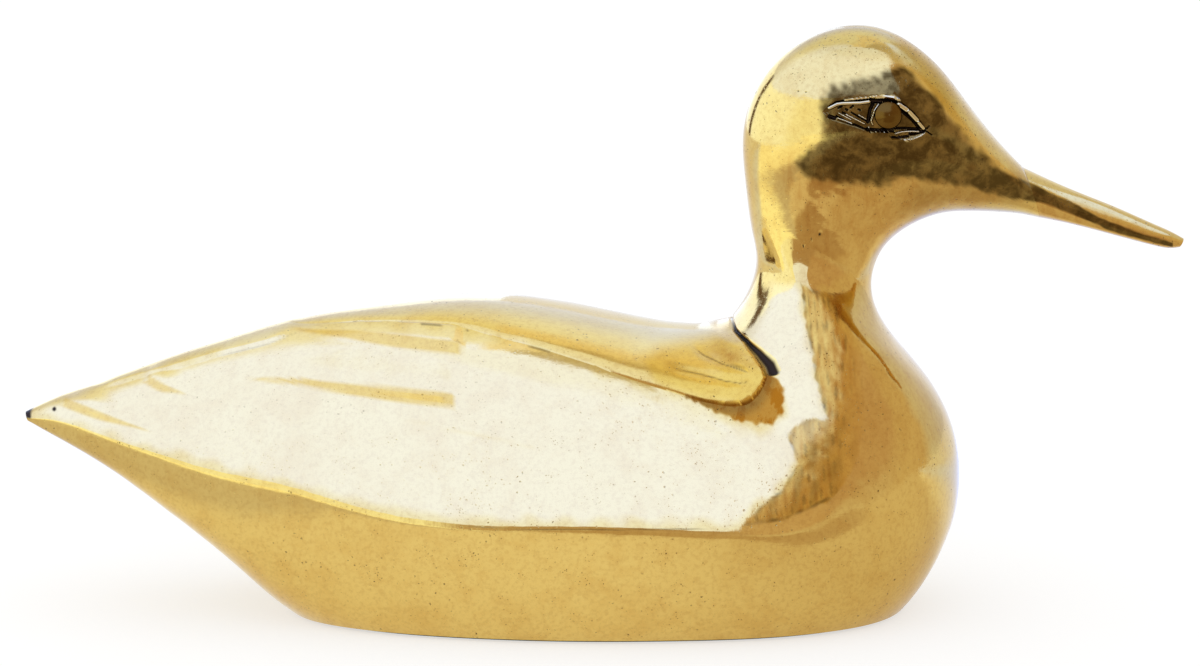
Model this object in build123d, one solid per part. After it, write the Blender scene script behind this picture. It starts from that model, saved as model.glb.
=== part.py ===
from build123d import *
import os

# A standing brass duck, hollow cast in two halves that are brazed together on the centre line.
# X runs from the tail to the bill, Y to the duck's left and Z up.
# The origin is on the floor under the middle of the duck, between tail tip and bill tip.

# Overall form
length = 290.0
height = 146.0
half_width = 50.0

# Casting
wall = 4.0
braze_thickness = 1.0
braze_width = 6.0
fit_gap = 0.1

# Base plate, its rebate and the felt under it
felt_thickness = 1.0
felt_inset = 1.5
plate_thickness = 2.0
rebate_inset = 2.0

# Screws that hold the base plate, and the cast bosses that take them
screw_diameter = 3.0
screw_length = 8.0
screw_head_diameter = 5.5
screw_head_height = 1.5
screw_slot_width = 0.8
screw_slot_depth = 0.7
boss_diameter = 9.0
boss_height = 12.0
boss_web = 4.0
boss_place_x_share = 0.12
boss_place_y_share = 0.69

# Bill and the tang that holds it in the head
bill_step = 0.5
tang_length = 9.0
tang_width = 7.0
tang_height = 6.0
tang_root = 3.0

# Eyes
eye_diameter = 6.4
eye_bulge = 1.3
eye_depth = 2.2
eye_stem_diameter = 2.6
eye_stem_length = 1.6
eye_x_share = 0.2400
eye_z_share = 0.8658
socket_rim = 0.5

# Cutting tools run this far past what they cut
overrun = 5.0

# A station is a section of the duck between a point on its upper line and a point on its lower line.
# Each row holds shares: upper x and z, lower x and z of the length and the height, then the half
# width, the height of the widest point up the station, how round the section is, from a section
# with a sharp edge at its widest point, 0, to an oval, 1, and how broad its top is.
body_shares = [
    (-0.500, 0.335, -0.497, 0.320, 0.050, 0.45, 0.00, 0.50),
    (-0.468, 0.365, -0.465, 0.286, 0.170, 0.55, 0.00, 0.45),
    (-0.427, 0.391, -0.426, 0.244, 0.300, 0.47, 0.00, 0.42),
    (-0.375, 0.428, -0.375, 0.172, 0.430, 0.45, 0.00, 0.42),
    (-0.318, 0.465, -0.319, 0.084, 0.570, 0.47, 0.00, 0.46),
    (-0.262, 0.497, -0.263, -0.008, 0.700, 0.51, 0.00, 0.50),
    (-0.193, 0.518, -0.193, -0.060, 0.830, 0.485, 0.00, 0.56),
    (-0.105, 0.532, -0.105, -0.080, 0.940, 0.465, 0.00, 0.70),
    (-0.017, 0.508, -0.013, -0.084, 1.000, 0.495, 0.00, 0.67),
    (0.045, 0.480, 0.066, -0.084, 1.000, 0.51, 0.10, 0.58),
    (0.085, 0.472, 0.136, -0.080, 0.975, 0.50, 0.25, 0.50),
    (0.105, 0.486, 0.198, -0.062, 0.925, 0.47, 0.45, 0.50),
    (0.1165, 0.511, 0.251, -0.018, 0.850, 0.45, 0.65, 0.56),
    (0.125, 0.540, 0.2885, 0.074, 0.770, 0.44, 0.85, 0.56),
    (0.130, 0.566, 0.308, 0.180, 0.670, 0.44, 1.00, 0.56),
    (0.1325, 0.591, 0.306, 0.292, 0.570, 0.45, 1.00, 0.56),
    (0.132, 0.617, 0.285, 0.385, 0.480, 0.46, 1.00, 0.56),
    (0.129, 0.647, 0.256, 0.456, 0.400, 0.47, 1.00, 0.56),
    (0.126, 0.681, 0.2365, 0.516, 0.335, 0.48, 1.00, 0.56),
    (0.1235, 0.721, 0.232, 0.5685, 0.300, 0.49, 1.00, 0.56),
    (0.121, 0.767, 0.239, 0.614, 0.300, 0.50, 1.00, 0.56),
    (0.1205, 0.817, 0.250, 0.641, 0.325, 0.50, 1.00, 0.56),
    (0.127, 0.874, 0.263, 0.660, 0.350, 0.50, 1.00, 0.56),
    (0.143, 0.929, 0.276, 0.673, 0.370, 0.50, 1.00, 0.56),
    (0.167, 0.971, 0.288, 0.681, 0.380, 0.50, 1.00, 0.56),
    (0.197, 0.997, 0.300, 0.685, 0.380, 0.50, 1.00, 0.56),
    (0.230, 1.000, 0.312, 0.686, 0.366, 0.50, 1.00, 0.56),
    (0.261, 0.975, 0.324, 0.6855, 0.336, 0.50, 1.00, 0.56),
    (0.289, 0.928, 0.336, 0.6845, 0.296, 0.50, 1.00, 0.56),
    (0.313, 0.868, 0.348, 0.683, 0.250, 0.50, 1.00, 0.56),
    (0.337, 0.809, 0.361, 0.680, 0.204, 0.50, 1.00, 0.56),
    (0.3605, 0.760, 0.375, 0.674, 0.160, 0.50, 0.90, 0.56),
]

# The folded wings end under a raised cape that lies over the back and has a lobe at each shoulder
cape_shares = [
    (-0.290, 0.486, -0.288, 0.440, 0.030, 0.70, 1.00, 0.56),
    (-0.248, 0.509, -0.248, 0.400, 0.210, 0.84, 1.00, 0.56),
    (-0.175, 0.538, -0.175, 0.360, 0.345, 0.79, 1.00, 0.56),
    (-0.100, 0.549, -0.100, 0.340, 0.485, 0.73, 1.00, 0.56),
    (-0.017, 0.528, -0.013, 0.320, 0.570, 0.64, 1.00, 0.56),
    (0.045, 0.496, 0.066, 0.290, 0.610, 0.58, 1.00, 0.56),
    (0.075, 0.483, 0.120, 0.290, 0.640, 0.52, 1.00, 0.56),
    (0.088, 0.480, 0.160, 0.310, 0.645, 0.49, 1.00, 0.56),
    (0.098, 0.478, 0.180, 0.330, 0.620, 0.51, 1.00, 0.56),
    (0.104, 0.474, 0.192, 0.345, 0.500, 0.54, 1.00, 0.56),
]

# The bill past its root, which follows the head's last station
bill_shares = [
    (0.400, 0.724, 0.405, 0.6625, 0.132, 0.52, 0.00, 0.40),
    (0.440, 0.692, 0.442, 0.643, 0.112, 0.50, 0.00, 0.40),
    (0.472, 0.664, 0.472, 0.627, 0.090, 0.50, 0.20, 0.40),
    (0.489, 0.649, 0.487, 0.621, 0.066, 0.50, 0.60, 0.40),
    (0.500, 0.637, 0.496, 0.622, 0.036, 0.50, 1.00, 0.40),
]
bill_root_round_share = 0.2
bill_root_crown_share = 0.40

# Control points of half a section, as shares of its half width and of its height.
# The lower curve runs from the keel to the widest point, the upper curve from there to the top.
sharp_shares = {"keel": 0.97, "bilge": 0.985, "bilge_rise": 0.42, "wing": 0.78, "wing_rise": 0.44}
round_shares = {"keel": 0.56, "bilge": 1.0, "bilge_rise": 0.45, "wing": 1.0, "wing_rise": 0.55}

# Stations at the tail and at the bill's root where the casting is solid
solid_tail_count = 4
solid_head_count = 4


def station(row):
    """A row of shares as upper point, lower point and half width in real sizes, and its last shares."""
    upper = Vector(row[0] * length, 0, row[1] * height)
    lower = Vector(row[2] * length, 0, row[3] * height)
    return upper, lower, row[4] * half_width, row[5], row[6], row[7]


def ring(place, inset=0.0):
    """The closed section at a station, with its surface moved inwards by the inset."""
    upper, lower, width, widest_share, round_share, crown_share = place
    inward = (lower - upper).normalized() * inset
    upper = upper + inward
    lower = lower - inward
    width = width - inset
    share = {name: sharp_shares[name] * (1 - round_share) + round_shares[name] * round_share
             for name in sharp_shares}
    wing_rise = widest_share + share["wing_rise"] * (1 - widest_share)

    def point(across, rise):
        return lower + (upper - lower) * rise + Vector(0, across * width, 0)

    def side(sign):
        below = [point(0, 0), point(sign * share["keel"], 0),
                 point(sign * share["bilge"], share["bilge_rise"] * widest_share),
                 point(sign, widest_share)]
        above = [point(sign, widest_share), point(sign * share["wing"], wing_rise),
                 point(sign * crown_share, 1), point(0, 1)]
        return below, above

    left_below, left_above = side(1)
    right_below, right_above = side(-1)
    return Wire([Bezier(*left_below), Bezier(*left_above),
                 Bezier(*reversed(right_above)), Bezier(*reversed(right_below))])


def form(places, inset=0.0):
    """A smooth solid through the sections at the given stations."""
    return Solid.make_loft([ring(place, inset) for place in places])


def slab(bottom, top):
    """A flat block that is wider than the duck, between two heights."""
    return Pos(0, 0, (bottom + top) / 2) * Box(length + overrun, 2 * half_width + overrun, top - bottom)


body_stations = [station(row) for row in body_shares]
cape_stations = [station(row) for row in cape_shares]
hollow_stations = body_stations[solid_tail_count:-solid_head_count]
base_stations = body_stations[solid_tail_count - 1:-solid_head_count]

on_floor = (Align.CENTER, Align.CENTER, Align.MIN)
rim_level = felt_thickness
plate_top = rim_level + plate_thickness


def bill_root():
    """The bill's first station: the head's last one, smaller by a narrow step."""
    upper, lower, width, widest_share = body_stations[-1][:4]
    inward = (lower - upper).normalized() * bill_step
    return (upper + inward, lower - inward, width - bill_step, widest_share, bill_root_round_share,
            bill_root_crown_share)


def tang(gap=0.0):
    """The tang behind the bill, in line with it, or its socket in the head when a gap is given."""
    root = (body_stations[-1][0] + body_stations[-1][1]) / 2
    tip = station(bill_shares[-1])[1]
    block = Box(tang_width + 2 * gap, tang_height + 2 * gap, tang_length + tang_root + gap, align=on_floor)
    return Plane(origin=root, x_dir=(0, 1, 0), z_dir=tip - root) * Pos(0, 0, -tang_length - gap) * block


def casting():
    """The whole hollow casting before it is parted into halves, cut flat at the rim and open below."""
    skin = form(body_stations) + form(cape_stations)
    hollow = form(hollow_stations, wall)
    posts = hollow & bosses()
    shell = (skin - hollow + posts) & slab(rim_level, height + overrun)
    rebate = form(base_stations, rebate_inset) & slab(rim_level - overrun, plate_top)
    return shell - rebate - screw_holes() - tang(fit_gap)


def boss_places():
    """Where the screws stand, on the rim's level."""
    return [Pos(x_share * length, y_share * half_width, rim_level)
            for x_share in (-boss_place_x_share, boss_place_x_share)
            for y_share in (-boss_place_y_share, boss_place_y_share)]


def bosses():
    """Posts inside the casting, each with a web that reaches sideways into the wall."""
    posts = []
    for place in boss_places():
        outwards = Align.MIN if place.position.Y > 0 else Align.MAX
        web = Box(boss_web, half_width, boss_height, align=(Align.CENTER, outwards, Align.MIN))
        posts.append(place * (Cylinder(boss_diameter / 2, boss_height, align=on_floor) + web))
    return Part() + posts


def screw_holes():
    """Threaded holes in the bosses, with a little room at their ends."""
    radius = screw_diameter / 2 + fit_gap
    hole_depth = screw_length + screw_diameter / 2
    return Part() + [place * Pos(0, 0, hole_depth / 2) * Cylinder(radius, hole_depth)
                     for place in boss_places()]


def screw(place):
    """A countersunk screw with its flat head level with the rim."""
    head = Cone(screw_head_diameter / 2, screw_diameter / 2, screw_head_height,
                align=on_floor)
    shank = Cylinder(screw_diameter / 2, screw_length, align=on_floor)
    slot = Box(screw_head_diameter, screw_slot_width, 2 * screw_slot_depth)
    return place * (head + shank - slot)


def base_plate():
    """The sheet that closes the casting from below, with countersunk holes."""
    sheet = form(base_stations, rebate_inset + fit_gap) & slab(rim_level, plate_top)
    countersink = Cone(screw_head_diameter / 2 + fit_gap, screw_diameter / 2 + fit_gap, screw_head_height,
                       align=on_floor)
    hole = Cylinder(screw_diameter / 2 + fit_gap, 2 * plate_thickness)
    return sheet - [place * (countersink + hole) for place in boss_places()]


def felt_pad():
    """The felt under rim and plate, a little smaller than the rim."""
    return form(base_stations, felt_inset) & slab(0, felt_thickness)


def seam_braze():
    """The fillet of braze on the inside of the seam, from the stern over the back to the bow."""
    inner = form(hollow_stations, wall) - form(hollow_stations[1:-1], wall + braze_thickness)
    strip = Box(length, braze_width, 2 * height)
    return inner & strip & slab(plate_top, height + overrun)


def bill():
    """The bill with its tang, cast by itself."""
    return form([bill_root()] + [station(row) for row in bill_shares]) + tang()


def eye_frame():
    """A plane on the side of the head at the left eye, with its normal outwards."""
    line = Axis((eye_x_share * length, 0, eye_z_share * height), (0, 1, 0))
    place, outwards = max(form(body_stations).find_intersection_points(line), key=lambda hit: hit[0].Y)
    return Plane(origin=place, z_dir=outwards)


def eye_barrel(radius, stem_radius, top, bottom):
    """A stepped pin along the eye's axis, between two heights over the side of the head."""
    barrel = Pos(0, 0, -eye_depth) * Cylinder(radius, top + eye_depth, align=on_floor)
    stem = Pos(0, 0, bottom) * Cylinder(stem_radius, -bottom, align=on_floor)
    return barrel + stem


def left_eye():
    """A domed eye on a stem."""
    ball_radius = ((eye_diameter / 2) ** 2 + eye_bulge ** 2) / (2 * eye_bulge)
    ball = Pos(0, 0, eye_bulge - ball_radius) * Sphere(ball_radius)
    pin = eye_barrel(eye_diameter / 2, eye_stem_diameter / 2, eye_bulge, -eye_depth - eye_stem_length)
    cap = Pos(0, 0, -eye_depth - eye_stem_length) * Cylinder(eye_diameter, eye_depth + eye_stem_length,
                                                               align=on_floor)
    return eye_frame() * (pin & (ball + cap))


def left_eye_socket():
    """The bore that takes the left eye, with a narrow gap round it."""
    bottom = -eye_depth - eye_stem_length - fit_gap
    return eye_frame() * eye_barrel(eye_diameter / 2 + socket_rim, eye_stem_diameter / 2 + fit_gap,
                                    eye_bulge + overrun, bottom)


def left_half(whole):
    """The duck's left half of the casting, with the socket for its eye."""
    block = Pos(0, half_width, 0) * Box(2 * length, 2 * half_width, 3 * height)
    return whole & block - left_eye_socket()


def write(name, shape):
    """Writes one piece to its own file."""
    shape.label = name
    export_step(shape, "parts/" + name + ".step")


os.makedirs("parts", exist_ok=True)
left_shell = left_half(casting())
left_stud = left_eye()
write("left_half_shell", left_shell)
write("right_half_shell", mirror(left_shell, about=Plane.XZ))
write("bill", bill())
write("left_eye", left_stud)
write("right_eye", mirror(left_stud, about=Plane.XZ))
write("seam_braze", seam_braze())
write("base_plate", base_plate())
write("base_screws", Compound(children=[screw(place) for place in boss_places()]))
write("felt_pad", felt_pad())
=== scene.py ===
import bmesh
import bpy
import math
import numpy as np
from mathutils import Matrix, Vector
from mathutils.geometry import tessellate_polygon


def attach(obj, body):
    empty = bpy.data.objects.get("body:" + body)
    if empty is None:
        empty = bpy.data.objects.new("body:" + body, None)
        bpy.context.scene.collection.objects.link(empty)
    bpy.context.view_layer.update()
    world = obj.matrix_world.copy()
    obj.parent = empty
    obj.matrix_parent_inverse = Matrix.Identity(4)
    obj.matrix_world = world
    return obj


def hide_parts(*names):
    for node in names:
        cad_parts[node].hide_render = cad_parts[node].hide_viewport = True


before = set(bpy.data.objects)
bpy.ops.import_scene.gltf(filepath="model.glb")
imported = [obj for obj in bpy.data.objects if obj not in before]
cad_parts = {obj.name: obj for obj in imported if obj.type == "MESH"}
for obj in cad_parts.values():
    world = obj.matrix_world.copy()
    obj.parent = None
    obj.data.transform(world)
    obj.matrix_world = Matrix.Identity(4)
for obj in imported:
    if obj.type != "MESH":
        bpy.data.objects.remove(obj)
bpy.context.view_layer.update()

# A standing brass duck. The form below is the CAD model's, in millimetres, and gets its carving here.
MM = 0.001
LENGTH, HEIGHT, HALF_WIDTH = 290.0, 146.0, 50.0
WALL, REBATE, RIM_Z, PLATE_Z, BILL_STEP = 4.0, 2.0, 1.0, 3.0, 0.06
# How many stations at the tail and at the head are cast solid.
SOLID_TAIL, SOLID_HEAD = 4, 4

# A section each: its upper end x and z, its lower end x and z, its width, how high it is widest, its roundness and
# the width of its crown, as shares of the sizes above.
BODY = [
    (-0.5, 0.335, -0.497, 0.32, 0.05, 0.45, 0, 0.5), (-0.468, 0.365, -0.465, 0.286, 0.17, 0.55, 0, 0.45),
    (-0.427, 0.391, -0.426, 0.244, 0.3, 0.47, 0, 0.42), (-0.375, 0.428, -0.375, 0.172, 0.43, 0.45, 0, 0.42),
    (-0.318, 0.465, -0.319, 0.084, 0.57, 0.47, 0, 0.46), (-0.262, 0.497, -0.263, -0.008, 0.7, 0.51, 0, 0.5),
    (-0.193, 0.518, -0.193, -0.06, 0.83, 0.485, 0, 0.56), (-0.105, 0.532, -0.105, -0.08, 0.94, 0.465, 0, 0.7),
    (-0.017, 0.508, -0.013, -0.084, 1, 0.495, 0, 0.67), (0.045, 0.48, 0.066, -0.084, 1, 0.51, 0.1, 0.58),
    (0.085, 0.472, 0.136, -0.08, 0.975, 0.5, 0.25, 0.5), (0.105, 0.486, 0.198, -0.062, 0.925, 0.47, 0.45, 0.5),
    (0.1165, 0.511, 0.251, -0.018, 0.85, 0.45, 0.65, 0.56), (0.125, 0.54, 0.2885, 0.074, 0.77, 0.44, 0.85, 0.56),
    (0.13, 0.566, 0.308, 0.18, 0.67, 0.44, 1, 0.56), (0.1325, 0.591, 0.306, 0.292, 0.57, 0.45, 1, 0.56),
    (0.132, 0.617, 0.285, 0.385, 0.48, 0.46, 1, 0.56), (0.129, 0.647, 0.256, 0.456, 0.4, 0.47, 1, 0.56),
    (0.126, 0.681, 0.2365, 0.516, 0.335, 0.48, 1, 0.56), (0.1235, 0.721, 0.232, 0.5685, 0.3, 0.49, 1, 0.56),
    (0.121, 0.767, 0.239, 0.614, 0.3, 0.5, 1, 0.56), (0.1205, 0.817, 0.25, 0.641, 0.325, 0.5, 1, 0.56),
    (0.127, 0.874, 0.263, 0.66, 0.35, 0.5, 1, 0.56), (0.143, 0.929, 0.276, 0.673, 0.37, 0.5, 1, 0.56),
    (0.167, 0.971, 0.288, 0.681, 0.38, 0.5, 1, 0.56), (0.197, 0.997, 0.3, 0.685, 0.38, 0.5, 1, 0.56),
    (0.23, 1, 0.312, 0.686, 0.366, 0.5, 1, 0.56), (0.261, 0.975, 0.324, 0.6855, 0.336, 0.5, 1, 0.56),
    (0.289, 0.928, 0.336, 0.6845, 0.296, 0.5, 1, 0.56), (0.313, 0.868, 0.348, 0.683, 0.25, 0.5, 1, 0.56),
    (0.337, 0.809, 0.361, 0.68, 0.204, 0.5, 1, 0.56), (0.3605, 0.76, 0.375, 0.674, 0.16, 0.5, 0.9, 0.56)]
BILL = [
    (0.4, 0.724, 0.405, 0.6625, 0.132, 0.52, 0, 0.4), (0.44, 0.692, 0.442, 0.643, 0.112, 0.5, 0, 0.4),
    (0.472, 0.664, 0.472, 0.627, 0.09, 0.5, 0.2, 0.4), (0.489, 0.649, 0.487, 0.621, 0.066, 0.5, 0.6, 0.4),
    (0.5, 0.637, 0.496, 0.622, 0.036, 0.5, 1, 0.4)]
# Places of a half section's control points: keel, bilge, bilge rise, wing, wing rise.
SHARP = np.array([0.97, 0.985, 0.42, 0.78, 0.44])
ROUND = np.array([0.56, 1.0, 0.45, 1.0, 0.55])
# How finely the rim is looked for along a section, and how many waves a ripple adds up.
RIM_LOOKS, RIPPLE_WAVES = 400, 9


def controls(row, inset=0.0):
    """The seven control points of the left half of a section, bottom to top, in millimetres."""
    ux, uz, lx, lz, width, widest, roundness, crown = row
    upper = np.array([ux * LENGTH, uz * HEIGHT])
    lower = np.array([lx * LENGTH, lz * HEIGHT])
    inward = (lower - upper) / np.linalg.norm(lower - upper) * inset
    upper, lower, half = upper + inward, lower - inward, width * HALF_WIDTH - inset
    keel, bilge, bilge_rise, wing, wing_rise = SHARP * (1 - roundness) + ROUND * roundness
    across = np.array([0, keel, bilge, 1, wing, crown, 0]) * half
    rise = np.array([0, 0, bilge_rise * widest, widest, widest + wing_rise * (1 - widest), 1, 1])
    line = lower + rise[:, None] * (upper - lower)
    return np.stack([line[:, 0], across, line[:, 1]], axis=1)


def spline(t, y, at):
    """A natural cubic spline through y at t, read at the given places."""
    n = len(t)
    h = np.diff(t)
    flat = y.reshape(n, -1)
    matrix, right = np.eye(n), np.zeros_like(flat)
    for i in range(1, n - 1):
        matrix[i, i - 1:i + 2] = h[i - 1], 2 * (h[i - 1] + h[i]), h[i]
        right[i] = 6 * ((flat[i + 1] - flat[i]) / h[i] - (flat[i] - flat[i - 1]) / h[i - 1])
    bend = np.linalg.solve(matrix, right)
    k = np.clip(np.searchsorted(t, at, side="right") - 1, 0, n - 2)
    d, hk = (at - t[k])[:, None], h[k][:, None]
    out = (bend[k] * (hk - d) ** 3 + bend[k + 1] * d ** 3) / (6 * hk)
    out += (flat[k] / hk - bend[k] * hk / 6) * (hk - d) + (flat[k + 1] / hk - bend[k + 1] * hk / 6) * d
    return out.reshape((len(at),) + y.shape[1:])


class Form:
    """A smooth half form through sections; s counts stations and v runs 0 to 2 from keel to crown."""

    def __init__(self, rows, inset=0.0):
        self.points = np.array([controls(row, inset) for row in rows])
        ends = self.points[:, [0, 6]]
        steps = np.linalg.norm(np.diff(ends, axis=0), axis=2).mean(axis=1)
        self.t = np.concatenate([[0], np.cumsum(np.sqrt(steps))])
        self.last = len(rows) - 1

    def sections(self, s):
        return spline(self.t, self.points, np.interp(s, np.arange(self.last + 1), self.t))

    def surface(self, sections, v):
        """Points for each section at its own row of v values."""
        upper = v > 1
        w = np.where(upper, v - 1, v)[..., None]
        p = [np.where(upper[..., None], sections[:, None, k + 3], sections[:, None, k]) for k in range(4)]
        return (1 - w) ** 3 * p[0] + 3 * (1 - w) ** 2 * w * p[1] + 3 * (1 - w) * w ** 2 * p[2] + w ** 3 * p[3]

    def rim(self, sections, level):
        """The v at which each section rises through a level, or 0 where it never lies under it."""
        v = np.broadcast_to(np.linspace(0, 1, RIM_LOOKS), (len(sections), RIM_LOOKS))
        z = self.surface(sections, v)[..., 2]
        under = z < level
        count = under.sum(axis=1)
        k = np.clip(count, 1, RIM_LOOKS - 1)
        i = np.arange(len(sections))
        z0, z1 = z[i, k - 1], z[i, k]
        part = np.clip((level - z0) / np.where(np.abs(z1 - z0) < 1e-9, 1, z1 - z0), 0, 1)
        return np.where(count > 0, (k - 1 + part) / (RIM_LOOKS - 1), 0.0)


def spread(weights, count):
    """Sample places along s, denser where the weight of an interval is higher."""
    total = np.concatenate([[0], np.cumsum(weights)])
    return np.interp(np.linspace(0, total[-1], count), total, np.arange(len(weights) + 1))


def smooth(x, low, high):
    """0 below low, 1 above high, and an even turn between them."""
    w = np.clip((x - low) / (high - low), 0, 1)
    return w * w * (3 - 2 * w)


def band(value, rise=None, fall=None):
    """1 between a soft rise and a soft fall, each given as where it starts and where it ends."""
    out = 1.0 if rise is None else smooth(value, *rise)
    return out if fall is None else out * (1 - smooth(value, *fall))


def taper(at, start, end):
    """1 along the middle of a line, fading in up to the share start and out from the share end."""
    return band(at, (0, start), (end, 1.0))


def mark(gap, width):
    """1 on a line and soft to both sides of it."""
    return np.exp(-(gap / width) ** 2)


def spot(x, z, middle, reach):
    """A soft oval in side view, 1 in its middle."""
    return np.exp(-((x - middle[0]) / reach[0]) ** 2 - ((z - middle[1]) / reach[1]) ** 2)


def along(x, z, line):
    """Signed distance from a line in side view, positive on its left, and the place along it from 0 to 1."""
    line = np.array(line, float)
    lengths = np.linalg.norm(np.diff(line, axis=0), axis=1)
    starts = np.concatenate([[0], np.cumsum(lengths)])
    best, side, place = np.full(x.shape, 1e9), np.zeros(x.shape), np.zeros(x.shape)
    for k in range(len(line) - 1):
        a, d = line[k], (line[k + 1] - line[k]) / lengths[k]
        px, pz = x - a[0], z - a[1]
        u = px * d[0] + pz * d[1]
        uc = np.clip(u, 0, lengths[k])
        gap = np.hypot(px - uc * d[0], pz - uc * d[1])
        closer = gap < best
        best = np.where(closer, gap, best)
        side = np.where(closer, d[0] * pz - d[1] * px, side)
        place = np.where(closer, (starts[k] + uc) / starts[-1], place)
    return np.where(side >= 0, best, -best), place


def ripple(x, z, size, seed):
    """Soft even waves of about a given length in side view, from -1 to 1."""
    draw = np.random.default_rng(seed)
    out = np.zeros(x.shape)
    for _ in range(RIPPLE_WAVES):
        angle, phase, stretched = draw.uniform(0, math.tau, 2).tolist() + [draw.uniform(0.7, 1.5)]
        out += np.cos((x * math.cos(angle) + z * math.sin(angle)) * math.tau / (size * stretched) + phase)
    return out * 2 / RIPPLE_WAVES


def within(x, z, line):
    """Signed distance from a closed outline in side view, positive inside."""
    line = list(line) + [line[0]]
    gap = np.abs(along(x, z, line)[0])
    odd = np.zeros(x.shape, bool)
    for (ax, az), (bx, bz) in zip(line, line[1:]):
        if az != bz:
            crosses = (z < az) != (z < bz)
            odd ^= crosses & (x < ax + (z - az) * (bx - ax) / (bz - az))
    return np.where(odd, gap, -gap)


# Lines of the carving in side view, in millimetres: x to the bill, z up.
CAPE_EDGE = [
    (-84, 71.5), (-71, 72.6), (-60, 73.6), (-50, 74), (-43, 74.2), (-38, 74.2), (-32, 73.6), (-26, 72.2),
    (-20, 71.1), (-14.5, 69.8), (-10.5, 68.6), (-1.5, 66), (6, 63), (17, 59.6), (24, 57.2), (30, 56.1), (34, 56.2),
    (37, 57.6), (39.3, 60.6), (40.3, 62.8)]
NAPE_CREASE = [(40.3, 62.8), (39.6, 65), (37.6, 67.4), (35, 69.8), (32.3, 71.3), (31.5, 74), (31, 78)]
CAPE_LINE = CAPE_EDGE + NAPE_CREASE[1:]
# Where the cape ends: to the tail, to the bill and upwards.
CAPE_BACK, CAPE_FRONT, CAPE_TOP = -84, 60, 84
# Along x: how high the cape stands at its edge and on the ridge, how wide its roll and the hollow under it are.
CAPE_X = [-84, -72, -50, -20, 0, 13, 20, 30, 40]
CAPE_STEP = [0.2, 0.35, 0.5, 0.7, 0.9, 1.3, 1.7, 2.4, 2.4]
CAPE_RIDGE = [0, 1.6, 2.6, 2.8, 2.9, 2.6, 2.4, 1.2, 0.6]
CAPE_ROLL = [0.8, 0.8, 1, 1.4, 2, 3, 3.6, 4.2, 4.2]
CAPE_HOLLOW = [0.3, 0.3, 0.3, 0.4, 0.5, 1.2, 2.6, 5.6, 5.6]
# The grooves of the cape's lobe, with their depth and half width.
LOBE_GROOVES = [
    ([(20.5, 67.5), (25, 65.2), (29.7, 63.8), (37.5, 62.9)], 0.4, 0.8),
    ([(13.5, 64.6), (19, 62.9), (25, 61.6), (30.5, 60.4), (34.5, 60.4), (37.6, 61.6)], 0.45, 0.9)]
# Feather ledges: a line from its fine end to its blunt end, the height and the width of the fall.
LEDGES = [
    ([(-103, 56.4), (-109, 58), (-113.5, 59.6)], 0.55, 2),
    ([(-111, 47.6), (-119, 49.6), (-127, 51.6), (-135, 53.4)], 0.55, 2),
    ([(-79, 71.6), (-62, 72), (-48, 71.6), (-34, 71)], 0.6, 2.6),
    ([(-89, 61), (-74, 61.6), (-55, 60.8), (-35.5, 59.9)], 0.6, 3),
    ([(-56, 54.9), (-44, 53.5), (-32, 51.6), (-16, 48.9)], 0.1, 0.8)]
RUMP_EDGE, RUMP_STEP = [(-127, 55.4), (-115.5, 59), (-104, 62.4), (-97, 64.6), (-83, 68.6), (-76, 71.2)], 0.45
# The carved eye: its place, its socket, the sunk field with its beads and the part of the skin that holds it, then
# raised strokes with height and half width, and cut strokes with depth and half width.
EYE_X, EYE_Z, EYE_SOCKET, EYE_SINK = 69.6, 126.4, 3.3, 1.6
FIELD_DEPTH, BEAD_SIZE, BEAD_HEIGHT = 0.45, 0.24, 0.4
EYE_NEAR = ((67, 126), (18, 9))
EYE_FIELD = [
    (54, 126.9), (56.5, 129.4), (62.5, 130.4), (67.5, 130.8), (72.4, 130), (76, 127), (79, 122.8), (76.4, 121.3),
    (70.6, 120.6), (69, 122.2), (64.6, 122.6), (61, 123.8), (56, 125.2)]
EYE_RAISED = [
    ([(59.1, 129.9), (62.7, 130.35), (66.3, 130.7)], 0.35, 0.26),
    ([(65.4, 130.7), (69, 130.75), (70.7, 130.5), (72.2, 130)], 0.65, 0.5),
    ([(72.1, 128.9), (74.1, 127.6)], 0.75, 0.6), ([(74.7, 127.1), (76.6, 125.1)], 0.75, 0.56),
    ([(77, 124.5), (78.2, 123.1)], 0.65, 0.44),
    ([(67.2, 129), (66.2, 127.5), (65.7, 126.1), (65.4, 125), (65.8, 124.1)], 0.5, 0.24),
    ([(71.3, 121.9), (73.1, 122.35), (75.3, 122.45), (77, 122.35)], 0.45, 0.24),
    ([(70.7, 119.9), (72.6, 120), (74.3, 120.3), (75.7, 120.6), (77.4, 121.2), (78.4, 121.9)], 0.28, 0.19),
    ([(55.3, 127.9), (57.2, 128.9), (58.4, 129.1), (60.3, 129.2), (62.7, 129.3), (64.9, 129.6)], 0.5, 0.42),
    ([(57.3, 125.6), (60.8, 124.3)], 0.3, 0.17), ([(57.5, 126.8), (60.6, 125.2)], 0.3, 0.17),
    ([(59.3, 126.5), (63.9, 124.2)], 0.3, 0.18), ([(62.4, 126.4), (64.2, 125.4)], 0.25, 0.16)]
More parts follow.
